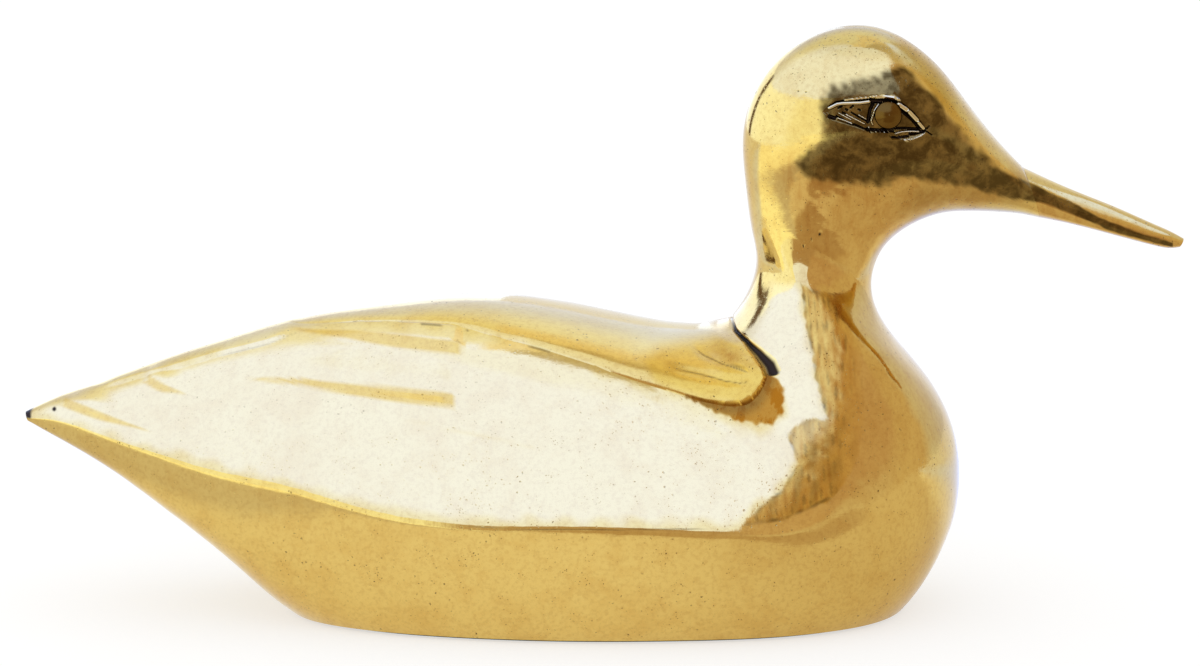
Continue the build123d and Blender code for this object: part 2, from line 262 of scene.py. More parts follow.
EYE_CUT = [
    ([(65, 129.9), (67.5, 129.8), (69.9, 129.7), (71.5, 129.2)], 0.6, 0.62),
    ([(65.8, 129.2), (65.2, 128), (64.9, 126.6), (64.6, 124.8)], 0.6, 0.45),
    ([(71.6, 128.4), (73.3, 127), (75.3, 125.4), (77.1, 123.3)], 0.55, 0.36),
    ([(64.4, 122.9), (67.5, 122.7), (70.7, 122.6)], 0.55, 0.5),
    ([(69.7, 123.2), (73.6, 123.2), (77.4, 123)], 0.5, 0.36), ([(75, 121.8), (78.4, 122.4)], 0.5, 0.42),
    ([(70.4, 120.8), (72.4, 120.95), (74.5, 121.2)], 0.4, 0.34), ([(78.4, 122.8), (80.2, 121.5)], 0.35, 0.17),
    ([(78.3, 122.5), (79.7, 123.7)], 0.3, 0.15),
    ([(55.2, 128.2), (56.9, 129.4), (58.6, 129.75), (61.5, 129.95), (64.6, 130.2)], 0.4, 0.24),
    ([(56.9, 126.1), (61, 124)], 0.4, 0.22), ([(58.4, 127), (62.7, 124.8)], 0.4, 0.22),
    ([(60.6, 127), (64.2, 125)], 0.4, 0.22), ([(61.2, 124.2), (65.1, 122.5)], 0.4, 0.22),
    ([(58.2, 128.5), (57.4, 128)], 0.4, 0.24), ([(61, 128.6), (60.3, 128.1)], 0.4, 0.24),
    ([(59.2, 127.8), (59.6, 127.6)], 0.4, 0.28), ([(62.3, 127.8), (62.7, 127.6)], 0.4, 0.28),
    ([(55.2, 125.9), (56.4, 125.6)], 0.5, 0.55)]
EYE_DOTS = [
    (64.9, 123.3), (66.6, 122.5), (67.6, 122.5), (68.6, 122.4), (69.6, 122.5), (68.5, 123.5), (71.2, 123.4),
    (68.3, 129.6), (69.2, 129.5), (70.5, 129.5)]
THROAT_DOTS, DOT_SIZE, DOT_DEPTH = [(49.5, 93.7), (51.3, 95), (53.4, 96.2), (55.2, 97.4)], 0.35, 0.4
# The depths of the nape's crease and the neck's waist, the waist's place and reach, and the height of the waves.
NAPE_DEPTH, WAIST_DEPTH, WAIST_Z, WAIST_REACH, SKIN_WAVES = 1, 1.3, 88, 9, 0.05
# The painted dark reflection on the face, dark brown and running out along the bill, and its upper edge.
FACE = [
    (53.5, 129.8), (55.5, 133.2), (60.3, 133.6), (66.3, 135.4), (73.6, 137.9), (78.6, 133.2), (83, 127.6),
    (88.6, 120.2), (92.8, 115.9), (97, 112.6), (101.8, 109.9), (105, 108.3), (109, 106.6), (116.4, 102.8),
    (125.6, 98.2), (132, 95.7), (142, 92.4), (142, 91.2), (132, 93.9), (125, 96.2), (116, 100.2), (109, 103),
    (104, 104.2), (98, 104.6), (94, 105.4), (90, 108.6), (84.4, 109.2), (76, 109.6), (67.5, 109.4), (60.3, 109.1),
    (53, 109.7), (48.2, 111.5), (47, 114.3), (50.4, 118.4), (53.5, 120.7), (54.3, 125.2)]
BROW = [(66, 135.4), (73.6, 137.9), (78.6, 133.2), (83, 127.6), (88.6, 120.2), (92.8, 115.9), (104, 110)]
# The stained strip down the front of the neck and the breast, and the painted dark reflection along the chine.
STREAKED = [
    (48.4, 85), (50, 74), (52, 63), (54.2, 54.6), (49.4, 54.2), (47.1, 52.6), (44.4, 50.8), (47.4, 44.4),
    (43.3, 38.4), (38.4, 35), (33.8, 30.6), (44, 31.5), (56, 36), (62, 44), (64, 56), (63, 70), (57, 82)]
CHINE_DARK_REFLECTION = [(-39.2, 30.2), (-20, 30), (0, 30.3), (18.5, 30.3), (31, 30)]
# The parts handled and rubbed, which get fewer pits and a painted sheen for their bright reflection: the wing and the
# side of the neck above its front.
RUBBED_AND_SHEEN = [
    (-141, 49), (-124, 46), (-103, 42), (-88, 39.6), (-73, 37.2), (-58, 34.2), (-39, 31.8), (-20, 31.4), (0, 31.6),
    (18, 31.4), (33, 31), (38, 35.5), (43, 39), (47, 44.5), (54, 51), (56, 54), (52, 64), (50, 76), (47, 86),
    (41, 84), (33, 73), (42, 63), (44, 55), (38, 50.5), (30, 53), (20, 58), (0, 64.5), (-20, 70.5), (-38, 73.6),
    (-60, 73.2), (-84, 70.6), (-104, 62.4), (-127, 55), (-139, 51.5)]
# The lobe of the cape, painted more golden as a painted gold reflection.
LOBE_GOLD_REFLECTION = [(8, 66), (14, 68), (22, 68.4), (28, 69.2), (34, 69.2), (42, 64), (42, 58), (34, 55), (24, 56), (12, 60)]
# Painted brown shade under the front of the cape, and a brown tone on the throat and the upper breast.
UNDER_CAPE_SHADE = [
    (20, 58.4), (24, 56.6), (26.5, 55.6), (29, 54.6), (31.7, 53.7), (34.5, 53.1), (37.4, 52.9), (41.3, 53),
    (42.6, 54), (44.1, 55.9), (44.2, 59), (43.9, 62), (41, 64), (38, 61), (34, 58.5), (28, 58)]
THROAT = [
    (46, 112), (47.5, 100), (46.5, 92), (48, 84), (50, 74), (52, 63), (54, 54), (47, 50), (44, 40), (55, 34),
    (70, 38), (85, 46), (100, 60), (90, 80), (80, 92), (84, 101), (104, 105), (108, 111), (90, 113), (60, 113)]
# Light tarnish on the crown, the jaw and the breast: its strength, and its rise and fall along x, then along z.
SHADES = [
    (0.2, None, (74, 80), (138.5, 142.5), None), (0.26, (68, 80), (100, 112), (94, 101), (106, 112)),
    (0.13, (76, 86), None, None, (56, 66))]
# Soft spots: painted shade in the tail's pit and the upper groove, a stain on the nape and painted shade on the lobe.
SHADE_SPOTS = [(1, (-137.2, 50.6), (0.55, 0.55)), (0.45, (34, 63.8), (3.2, 0.5))]
NAPE_STAIN, LOBE_SHADE = (0.42, (47, 111), (5, 7)), (0.55, (32, 65.2), (5.5, 1.9))
# Where dashes of painted shade show under the cape's edge, from and to along x.
SHADE_DASHES = [(-45, -33), (-19, -9)]
# What the wear and the painted light and shade do by place, one value from 0 to 1 a layer: painted shade and dark
# reflections, polish and painted sheen, patina and painted dark reflection, brown stain and painted shade, painted
# gold reflection, and pits.
WEAR_AND_LIGHT_LAYERS = ("painted_dark", "polish_and_sheen", "patina_and_painted_dark", "stain_and_shade", "gold_reflection", "pitted")
# The bill is browner below this line, given by the x and the z of its ends.
BILL_BROWN_LINE, BILL_BROWNING = ((104, 145), (107.5, 91.6)), 0.35

# How fine the meshes are: the rows of the skin below the chine, up to the cape's edge and over the cape, then the
# sections and rows or points of the other surfaces.
ROWS_LOW, ROWS_SIDE, ROWS_CAPE = 28, 76, 42
SKIN_SECTIONS, HOLLOW_SECTIONS, HOLLOW_ROWS, REBATE_SECTIONS, WALL_POINTS = 640, 110, 30, 160, 90
BILL_SECTIONS, BILL_ROWS = 190, 61
# How dense the skin's sections are between one station and the next: densest at the eye.
DENSITY = [
    10, 12, 14, 16, 18, 20, 24, 26, 26, 28, 30, 32, 26, 18, 14, 10, 9, 9, 9, 9, 11, 14, 24, 62, 68, 66, 26, 12, 9,
    7, 7]
# The search for the cape's edge: its steps, the last x it counts at, the v past that, and how far it is evened.
EDGE_LOOKS, EDGE_FRONT, EDGE_PAST, EDGE_EVEN = 300, 38.5, 1.55, 7
# The stations over which the rows crowd to the eye and spread again. Then the line they crowd to, by a station, its v
# and its slope, and how far, how much and in how many steps of v they crowd.
EYE_CROWD, EYE_SPREAD = (21.3, 23.2), (26.4, 28.3)
CROWD_STATION, CROWD_V, CROWD_SLOPE, CROWD_REACH, CROWDING, CROWD_LOOKS = 23.4, 1.27, -0.111, 0.14, 7, 801
# Points nearer than MERGE and edges shorter than SHORT, in metres, are joined; SMOOTH_ANGLE is in degrees.
MERGE, SHORT, SMOOTH_ANGLE = 2e-6, 1e-6, 35


def stroke(x, z, line, half):
    """1 along the middle of a carved stroke and 0 past its sides and ends."""
    gap = np.abs(along(x, z, line)[0])
    return np.clip(1 - (gap / half) ** 2, 0, 1)


def carve_eye(x, z):
    """The carving round the eye: how far it moves the skin, where painted shade darkens its cuts, field and socket,
    and where painted highlights go on its beads and ridges.
    """
    out, painted_dark, polish_and_sheen = np.zeros(x.shape), np.zeros(x.shape), np.zeros(x.shape)
    (mid_x, mid_z), (reach_x, reach_z) = EYE_NEAR
    near = (np.abs(x - mid_x) < reach_x) & (np.abs(z - mid_z) < reach_z)
    px, pz = x[near], z[near]
    field = smooth(within(px, pz, EYE_FIELD), -0.3, 0.5)
    move = -FIELD_DEPTH * field
    carved_shade, highlight = 0.2 * field, np.zeros(px.shape)
    for line, depth, half in EYE_CUT:
        cut = stroke(px, pz, line, half)
        move -= depth * cut
        carved_shade = np.maximum(carved_shade, 1.3 * cut)
    for dot_x, dot_z in EYE_DOTS:
        bead = np.clip(1 - ((px - dot_x) ** 2 + (pz - dot_z) ** 2) / BEAD_SIZE ** 2, 0, 1)
        move += BEAD_HEIGHT * bead
        highlight = np.maximum(highlight, bead)
    for line, height, half in EYE_RAISED:
        ridge = stroke(px, pz, line, half)
        move = np.where(ridge > 0, np.maximum(move, -0.2) + height * np.sqrt(ridge), move)
        highlight = np.maximum(highlight, smooth(ridge, 0.15, 0.5))
    round_eye = np.hypot(px - EYE_X, pz - EYE_Z)
    socket = 1 - smooth(round_eye, EYE_SOCKET - 0.1, EYE_SOCKET + 0.05)
    out[near] = move * (1 - socket) - EYE_SINK * socket
    painted_dark[near] = np.clip(np.maximum(carved_shade * (1 - highlight), 0.6 * socket), 0, 1)
    polish_and_sheen[near] = highlight * (1 - socket)
    return out, painted_dark, polish_and_sheen


def face_dark_reflection(x, z):
    """The painted dark reflection on the face, dark brown, which runs out along the bill."""
    loose = 1 - 0.8 * smooth(x, 92, 104)
    ragged = within(x, z, FACE) + loose * (1.0 * ripple(x, z, 9, 6) + 0.5 * ripple(x, z, 2.5, 7))
    return smooth(ragged, -1.2 * loose, 1.4 * loose)


def cape_form(x, z, distance):
    """How far the cape and the fillet under its lobe stand out, and how wide the cape's roll is."""
    step, ridge, roll, hollow = (np.interp(x, CAPE_X, row)
                                 for row in (CAPE_STEP, CAPE_RIDGE, CAPE_ROLL, CAPE_HOLLOW))
    step = step * (1 - 0.75 * smooth(z, 67.5, 72) * smooth(x, 24, 30))
    rolled = np.sqrt(np.clip(1 - (1 - np.clip(distance / roll, 0, 1)) ** 2, 0, 1))
    base = 0.3 * smooth(x, 10, 26)
    under = base * np.clip(1 + np.minimum(distance, 0) / hollow, 0, 1) ** 2
    cape = step * (under + (1 - base) * rolled * (distance > 0))
    cape += (ridge - step) * smooth(distance, 2, 20) * (distance > 0)
    return cape * smooth(x, -88, -72), roll


def feather_ledges(x, y, z, outside):
    """How far the ledges of wing and tail stand out, and where their falls get a painted gold reflection."""
    out, ledge_gold_reflection = np.zeros(x.shape), np.zeros(x.shape)
    for line, height, run in LEDGES:
        gap, at = along(x, z, line)
        gap = gap if line[-1][0] > line[0][0] else -gap
        fall = smooth(gap, -run, 0.0) * (1 - smooth(gap, 0.5, 2.2 * run))
        out += height * taper(at, 0.7, 0.94) * fall * outside * smooth(y, 1.5, 7)
        wide = run * (0.25 + 0.75 * smooth(at, 0, 0.7))
        strip = band(gap, (-wide - 0.4, -wide + 0.4), (-0.5, 0.1)) * (1 - smooth(at, 0.985, 1.0))
        ledge_gold_reflection = np.maximum(ledge_gold_reflection, min(0.85, 1.4 * height) * strip * smooth(at, 0, 0.12) * outside)
    return out, ledge_gold_reflection


def carve_lines(x, y, z):
    """The rump's edge, the lobe's grooves, the nape's crease and the throat's dots: how far they move, and the
    painted shade in and under them.
    """
    gap, at = along(x, z, RUMP_EDGE)
    out = RUMP_STEP * smooth(gap, -0.6, 0.3) * smooth(at, 0, 0.12) * (1 - smooth(x, -80, -74)) * (x < -70)
    painted_dark = 0.35 * mark(gap + 0.5, 0.35) * smooth(at, 0.45, 0.7) * (x < -76)
    for line, depth, width in LOBE_GROOVES:
        gap, at = along(x, z, line)
        out -= depth * mark(gap, width) * taper(at, 0.3, 0.9)
        painted_dark = np.maximum(painted_dark, 0.5 * mark(gap, 0.3) * taper(at, 0.3, 0.9))
    gap, at = along(x, z, NAPE_CREASE)
    width = 0.5 + 1.2 * smooth(at, 0.55, 0.0)
    crease = mark(gap + width, width) * band(at, (0, 0.05), (0.62, 0.8)) * (gap < 0.3)
    crease *= (x < 50) & (z < 80) & (z > 61)
    out -= NAPE_DEPTH * crease
    painted_dark = np.maximum(painted_dark, crease)
    out -= WAIST_DEPTH * mark(z - WAIST_Z, WAIST_REACH) * band(x, (30, 40), (52, 66)) * smooth(y, 3, 12)
    for place in THROAT_DOTS:
        dot = spot(x, z, place, (DOT_SIZE, DOT_SIZE))
        out -= DOT_DEPTH * dot
        painted_dark = np.maximum(painted_dark, dot)
    return out, painted_dark


def relief(p):
    """For each point of the skin: how far it moves outwards in millimetres, and its wear and painted light and shade,
    one value a layer.
    """
    x, y, z = p[..., 0], p[..., 1], p[..., 2]
    wear = {layer: np.zeros(x.shape) for layer in WEAR_AND_LIGHT_LAYERS}

    def show(layer, value):
        wear[layer] = np.maximum(wear[layer], value)

    distance, _ = along(x, z, CAPE_LINE)
    on_body = ~((x < CAPE_BACK) | (x > CAPE_FRONT) | (z > CAPE_TOP))
    cape, roll = cape_form(x, z, distance)
    outside = (distance < 0) | (x < CAPE_BACK)
    ledges, ledge_gold_reflection = feather_ledges(x, y, z, outside)
    lines, carved_shade = carve_lines(x, y, z)
    eye, eye_shade, eye_highlight = carve_eye(x, z)
    waves = 0.9 * ripple(x, z, 17, 3) + 0.3 * ripple(x, z, 6, 4) + 0.12 * ripple(x, z, 2.6, 5)
    throat = smooth(within(x, z, THROAT) + 1.2 * ripple(x, z, 7, 9), -3.0, 3.5)
    folds = 0.8 * ripple(x, z, 5, 10) + 0.45 * ripple(x, z, 2.4, 11)
    out = cape * on_body + ledges + lines + eye
    out += SKIN_WAVES * (waves * smooth(y, 0.5, 6) + throat * folds * smooth(y, 2, 8))

    # The cape: a painted gold reflection along its rim and on its lobe, a painted sheen above, and painted brown
    # shade with dashes of painted shade under its edge.
    show("gold_reflection", smooth(within(x, z, LOBE_GOLD_REFLECTION), -1.5, 2.5) * (distance > -0.3))
    rim = smooth(distance, -0.3, 0.1) * (1 - smooth(distance, 0.9 * roll, 1.6 * roll + 0.6))
    show("gold_reflection", 0.5 * rim * smooth(x, -52, -40) * on_body)
    show("gold_reflection", ledge_gold_reflection)
    cape_sheen = smooth(distance, 1.5, 7) * on_body * (1 - smooth(x, 26, 31))
    show("polish_and_sheen", np.maximum(eye_highlight, (0.5 + 0.45 * smooth(x, 4, 20)) * cape_sheen))
    under_cape_shade = within(x, z, UNDER_CAPE_SHADE) + 0.35 * ripple(x, z, 2.2, 8)
    under_cape_shade = smooth(under_cape_shade, -0.35, 0.45) * (distance < 0.15)
    show("stain_and_shade", 0.92 * under_cape_shade)
    show("gold_reflection", under_cape_shade)
    show("patina_and_painted_dark", 0.55 * under_cape_shade * smooth(distance, -3.2, -0.2))
    shade_dashes = sum((x > low) * (x < high) for low, high in SHADE_DASHES)
    show("painted_dark", 0.5 * mark(distance + 0.45, 0.4) * shade_dashes * smooth(ripple(x, z, 9, 18), -0.6, 0.2))

    # Painted shade in the carving and the tail's pit, and a painted dark reflection on the tail's tip and along the
    # chine.
    show("painted_dark", np.maximum(carved_shade, eye_shade))
    show("painted_dark", 0.8 * smooth(x, -142.6, -143.6) * smooth(z, 47.2, 48.2))
    for strength, middle, reach in SHADE_SPOTS:
        show("painted_dark", strength * spot(x, z, middle, reach))
    gap, at = along(x, z, CHINE_DARK_REFLECTION)
    show("painted_dark", 0.5 * mark(gap, 0.3) * taper(at, 0.15, 0.85))

    # The face's painted dark reflection, light tarnish by place, a brown tone on the throat, brown stain on the nape,
    # and painted brown shade on the lobe.
    show("patina_and_painted_dark", face_dark_reflection(x, z))
    for strength, x_rise, x_fall, z_rise, z_fall in SHADES:
        show("patina_and_painted_dark", strength * band(x, x_rise, x_fall) * band(z, z_rise, z_fall))
    show("stain_and_shade", (0.2 + 0.2 * smooth(z, 84, 104)) * throat)
    show("stain_and_shade", NAPE_STAIN[0] * spot(x, z, *NAPE_STAIN[1:]))
    show("stain_and_shade", LOBE_SHADE[0] * spot(x, z, *LOBE_SHADE[1:]) * (distance > 0))

    # The stained strip: upright strokes, blots on the breast and a dark, broken edge.
    inner = within(x, z, STREAKED)
    edge = smooth(inner + 0.5 * ripple(x, z, 3.2, 13), -0.2, 0.5)
    strip = edge * (1 - 0.7 * smooth(x - 0.1 * z, 50, 56))
    strokes = ripple(x * 4, z * 0.7, 6, 14)
    show("stain_and_shade", (0.2 + 0.2 * smooth(z, 50, 58) + 0.24 * strokes) * strip)
    show("patina_and_painted_dark", 0.45 * smooth(ripple(x * 3, z * 0.9, 5, 15), 0.25, 0.9) * strip)
    blots = smooth(ripple(x * 1.3, z, 5.5, 17), -0.35, 0.75) * (1 - smooth(z, 51, 59)) * smooth(x, 33, 38)
    show("patina_and_painted_dark", 0.3 * blots * strip)
    broken = 0.5 + 0.5 * ripple(x, z, 4, 16)
    show("patina_and_painted_dark", 0.7 * band(inner, (-0.3, 0.2), (0.4, 1.2)) * (x < 55) * broken)
    # A painted gold reflection along the strip's edge.
    show("gold_reflection", 0.75 * edge * (1 - smooth(x, 56, 66)))

    # The brow gets a painted gold reflection and light tarnish, the brow and the crown are pitted, and the handled
    # parts get a painted sheen where nothing stains them.
    over_face = smooth(z - np.interp(x, *np.transpose(BROW)), -0.2, 1.8)
    brow = over_face * band(x, (70, 74), (82, 92))
    show("gold_reflection", 0.8 * brow)
    show("patina_and_painted_dark", 0.24 * brow)
    show("pitted", np.maximum(over_face * band(x, (66, 74), (94, 104)), 0.8 * smooth(z, 137, 142)))
    rubbed_and_sheen = smooth(within(x, z, RUBBED_AND_SHEEN) + 0.8 * ripple(x, z, 6, 12), -1.0, 2.0)
    show("polish_and_sheen", 0.55 * rubbed_and_sheen * (1 - wear["stain_and_shade"]))
    wear["polish_and_sheen"] *= 1 - 0.9 * wear["gold_reflection"]
    return out, np.stack([wear[layer] for layer in WEAR_AND_LIGHT_LAYERS], axis=-1)


def normals(grid):
    """Outward unit normals of a grid of points whose first axis runs forward and second runs up the left side."""
    along_s, along_v = np.gradient(grid, axis=0), np.gradient(grid, axis=1)
    n = np.cross(along_v, along_s)
    n /= np.linalg.norm(n, axis=2, keepdims=True) + 1e-9
    return n


def skin(form, s, v_of):
    """The form's points at the stations s, in the rows that v_of gives."""
    sections = form.sections(s)
    return form.surface(sections, v_of(form, sections, s))


def edge_place(form, sections):
    """The v at which each section crosses the cape's lower edge, kept smooth where there is no cape."""
    v = np.broadcast_to(np.linspace(1, 2, EDGE_LOOKS), (len(sections), EDGE_LOOKS))
    p = form.surface(sections, v)
    line = np.array(CAPE_EDGE)
    above = p[..., 2] > np.interp(p[..., 0], line[:, 0], line[:, 1])
    first = np.where(above.any(axis=1), above.argmax(axis=1), EDGE_LOOKS - 1)
    i = np.arange(len(p))
    x = p[i, first, 0]
    known = (x > line[0, 0] + 1) & (x < EDGE_FRONT) & (i < len(p) * 0.6)
    filled = np.interp(i, i[known], 1 + first[known] / (EDGE_LOOKS - 1))
    filled = np.where(i > i[known][-1], EDGE_PAST, filled)
    kernel = np.hanning(2 * EDGE_EVEN + 1)
    return np.convolve(np.pad(filled, EDGE_EVEN, mode="edge"), kernel / kernel.sum(), "valid")


def skin_rows(form, sections, s):
    """The rows of v for the outer skin: one on the chine and one on the cape's edge, closest there and at the eye."""
    low = form.rim(sections, RIM_Z)
    edge = edge_place(form, sections)[:, None]
    u = np.linspace(0, 1, ROWS_LOW + 1)[None, :]
    below = low[:, None] + (1 - low[:, None]) * (u + 0.16 * np.sin(math.pi * u) * u)
    u = np.linspace(0, 1, ROWS_SIDE + 1)[None, 1:]
    side = 1 + (edge - 1) * (u - 0.06 * np.sin(2 * math.pi * u))
    u = np.linspace(0, 1, ROWS_CAPE + 1)[None, 1:]
    cape = edge + (2 - edge) * (0.72 * u + 0.28 * u * u)
    rows = np.concatenate([below, side, cape], axis=1)
    v = np.linspace(0, 2, CROWD_LOOKS)
    for k in np.where((s > EYE_CROWD[0]) & (s < EYE_SPREAD[1]))[0]:
        eye_v = CROWD_V + CROWD_SLOPE * (s[k] - CROWD_STATION)
        density = 1 + CROWDING * np.exp(-((v[1:] - eye_v) / CROWD_REACH) ** 4)
        crowd = np.concatenate([[0], np.cumsum(density)])
        dense = np.interp(np.linspace(0, crowd[-1], rows.shape[1]), crowd, v)
        rows[k] += band(s[k], EYE_CROWD, EYE_SPREAD) * (dense - rows[k])
    return rows


def soften_chine(grid, row, reach=5):
    """Rounds the chine by evening out the rows next to it."""
    out = grid.copy()
    for _ in range(reach):
        mid = out[:, row - reach:row + reach + 1]
        out[:, row - reach + 1:row + reach] = (mid[:, :-2] + 2 * mid[:, 1:-1] + mid[:, 2:]) / 4
    return out


def push(grid, amount):
    """Moves the points outwards by amount and keeps the centre line on the centre plane.

    Where the last rows of a station all lie on the centre line, they share the normal of the first of them."""
    n = normals(grid)
    middle = np.abs(grid[..., 1]) < 1e-6
    first = grid.shape[1] - np.argmin(middle[:, ::-1], axis=1)
    for station, column in enumerate(first):
        if column < grid.shape[1]:
            n[station, column:] = n[station, column]
            n[station, column:, 1] = 0
    n[middle[:, 0], 0, 1] = 0
    n /= np.linalg.norm(n, axis=2, keepdims=True) + 1e-9
    return grid + n * amount[..., None]


def put(name, data):
    """A new object in the scene."""
    thing = bpy.data.objects.new(name, data)
    bpy.context.scene.collection.objects.link(thing)
    return thing


class Builder:
    """Collects points and faces of one closed mesh, in millimetres."""

    def __init__(self):
        self.points, self.wear, self.faces, self.count = [], [], [], 0

    def grid(self, points, flip=False, wear=None):
        """Adds a grid of points with faces between them and returns their numbers."""
        rows, columns = points.shape[:2]
        if wear is None:
            wear = np.zeros((rows, columns, len(WEAR_AND_LIGHT_LAYERS)))
        self.wear.append(wear.reshape(-1, len(WEAR_AND_LIGHT_LAYERS)))
        index = self.count + np.arange(rows * columns).reshape(rows, columns)
        self.points.append(points.reshape(-1, 3))
        self.count += rows * columns
        quads = np.stack([index[:-1, :-1], index[:-1, 1:], index[1:, 1:], index[1:, :-1]], axis=-1).reshape(-1, 4)
        self.faces += (quads[:, ::-1] if flip else quads).tolist()
        return index

    def flat(self, indices, axes, flip=False):
        """Fills a closed loop of points that lie in one plane; axes are the two that span it."""
        all_points = np.concatenate(self.points)
        loop = [i for k, i in enumerate(indices) if i != indices[k - 1]]
        ring = [Vector((*all_points[i][list(axes)], 0)) for i in loop]
        for a, b, c in tessellate_polygon([ring]):
            pa, pb, pc = ring[a], ring[b], ring[c]
            turn = (pb - pa).cross(pc - pa).z
            face = (loop[a], loop[b], loop[c])
            self.faces.append(face if (turn > 0) != flip else face[::-1])

    def make(self, name, mirrored=False):
        """The mesh as an object, in metres, with its wear and painted light and shade as point attributes."""
        points = np.concatenate(self.points) * MM
        faces = self.faces
        if mirrored:
            points = points * (1, -1, 1)
            faces = [face[::-1] for face in faces]
        mesh = bpy.data.meshes.new(name)
        mesh.from_pydata(points.tolist(), [], faces)
        wear = np.concatenate(self.wear)
        for k, layer in enumerate(WEAR_AND_LIGHT_LAYERS):
            mesh.attributes.new(layer, "FLOAT", "POINT").data.foreach_set("value", wear[:, k].astype(np.float32))
        mesh.validate()
        return put(name, mesh)


def finish_mesh(piece):
    """Joins points that meet, drops faces without area and shades the piece smooth up to an angle."""
    bm = bmesh.new()
    bm.from_mesh(piece.data)
    bmesh.ops.remove_doubles(bm, verts=bm.verts, dist=MERGE)
    bmesh.ops.dissolve_degenerate(bm, dist=SHORT, edges=bm.edges)
    bmesh.ops.recalc_face_normals(bm, faces=bm.faces)
    for face in bm.faces:
        face.smooth = True
    for edge in bm.edges:
        edge.smooth = len(edge.link_faces) == 2 and edge.calc_face_angle(0) < math.radians(SMOOTH_ANGLE)
    bm.to_mesh(piece.data)
    bm.free()


def half_shell():
    """The left half of the hollow casting as one closed mesh."""
    body = Form(BODY)
    s = spread(DENSITY, SKIN_SECTIONS)
    grid = soften_chine(skin(body, s, skin_rows), ROWS_LOW)
    amount, wear = relief(grid)
    amount *= smooth(np.arange(grid.shape[1]), 0, 3)
    fixed = grid[:, 0].copy()
    grid = push(grid, amount)
    grid[:, 0] = fixed
    hollow = Form(BODY[SOLID_TAIL:-SOLID_HEAD], WALL)
    rebate = Form(BODY[SOLID_TAIL - 1:-SOLID_HEAD], REBATE)
    mesh = Builder()
    outer = mesh.grid(grid, wear=wear)

    def plain_rows(level, rows):
        """Even rows from a level up to the crown."""
        def rows_of(form, sections, _):
            low = form.rim(sections, level)
            u = np.linspace(0, 1, rows)[None, :]
            return low[:, None] + (2 - low[:, None]) * u
        return rows_of

    inner_grid = skin(hollow, np.linspace(0, hollow.last, HOLLOW_SECTIONS), plain_rows(PLATE_Z, HOLLOW_ROWS))
    inner = mesh.grid(inner_grid, flip=True)

    def wall_line(level):
        """The rebate's outline at a level, from the tail to the breast, with its points at even steps."""
        line = skin(rebate, np.linspace(0, rebate.last, REBATE_SECTIONS), plain_rows(level, 2))[:, 0]
        line = line[np.abs(line[:, 2] - level) < 0.05]
        line[0, 1] = line[-1, 1] = 0
        d = np.concatenate([[0], np.cumsum(np.linalg.norm(np.diff(line, axis=0), axis=1))])
        at = np.linspace(0, d[-1], WALL_POINTS)
        return np.stack([np.interp(at, d, line[:, k]) for k in range(3)], axis=1)

    step = mesh.grid(np.stack([wall_line(RIM_Z), wall_line(PLATE_Z)], axis=1), flip=True)
    rim = np.where(np.abs(grid[:, 0, 2] - RIM_Z) < 1e-3)[0]
    outer_rim = outer[rim[0]:rim[-1] + 1, 0]
    inside = np.where(np.abs(inner_grid[:, 0, 2] - PLATE_Z) < 1e-3)[0]
    inner_rim = inner[inside[0]:inside[-1] + 1, 0]
    mesh.flat([*outer_rim, *step[::-1, 0]], (0, 1), flip=True)
    mesh.flat([*step[:, 1], *inner_rim[::-1]], (0, 1), flip=True)
    mesh.flat(inner[0], (1, 2))
    mesh.flat(inner[-1], (1, 2), flip=True)
    mesh.flat(outer[0], (1, 2), flip=True)
    mesh.flat(outer[-1], (1, 2))
    seam = [*outer[:rim[0] + 1, 0][::-1], *outer[:, -1], *outer[rim[-1]:, 0][::-1], *step[-1],
            *inner[inside[-1]:, 0], *inner[::-1, -1], *inner[:inside[0] + 1, 0], *step[0, ::-1]]
    mesh.flat(seam, (0, 2))
    return mesh


def bill_mesh():
    """The bill as a closed mesh, root to tip."""
    root, scale = BODY[-1], np.array([LENGTH, HEIGHT])
    upper, lower = root[:2] * scale, root[2:4] * scale
    inward = (lower - upper) / np.linalg.norm(lower - upper) * BILL_STEP
    first = (*(upper + inward) / scale, *(lower - inward) / scale, root[4] - BILL_STEP / HALF_WIDTH, *root[5:])
    form = Form([first] + BILL)
    sections = form.sections(np.linspace(0, form.last, BILL_SECTIONS))
    grid = form.surface(sections, np.broadcast_to(np.linspace(0, 2, BILL_ROWS), (BILL_SECTIONS, BILL_ROWS)))
    both = np.concatenate([grid, grid[:, -2:0:-1] * (1, -1, 1)], axis=1)
    both = np.concatenate([both, both[:, :1]], axis=1)
    wear = np.zeros(both.shape[:2] + (len(WEAR_AND_LIGHT_LAYERS),))
    x, z = both[..., 0], both[..., 2]
    wear[..., WEAR_AND_LIGHT_LAYERS.index("patina_and_painted_dark")] = face_dark_reflection(x, z)
    wear[..., WEAR_AND_LIGHT_LAYERS.index("stain_and_shade")] = BILL_BROWNING * (1 - smooth(z - np.interp(x, *BILL_BROWN_LINE), -0.5, 0.8))
    mesh = Builder()
    index = mesh.grid(both, wear=wear)
    mesh.flat(index[0, :-1], (1, 2), flip=True)
    mesh.flat(index[-1, :-1], (1, 2))
    return mesh


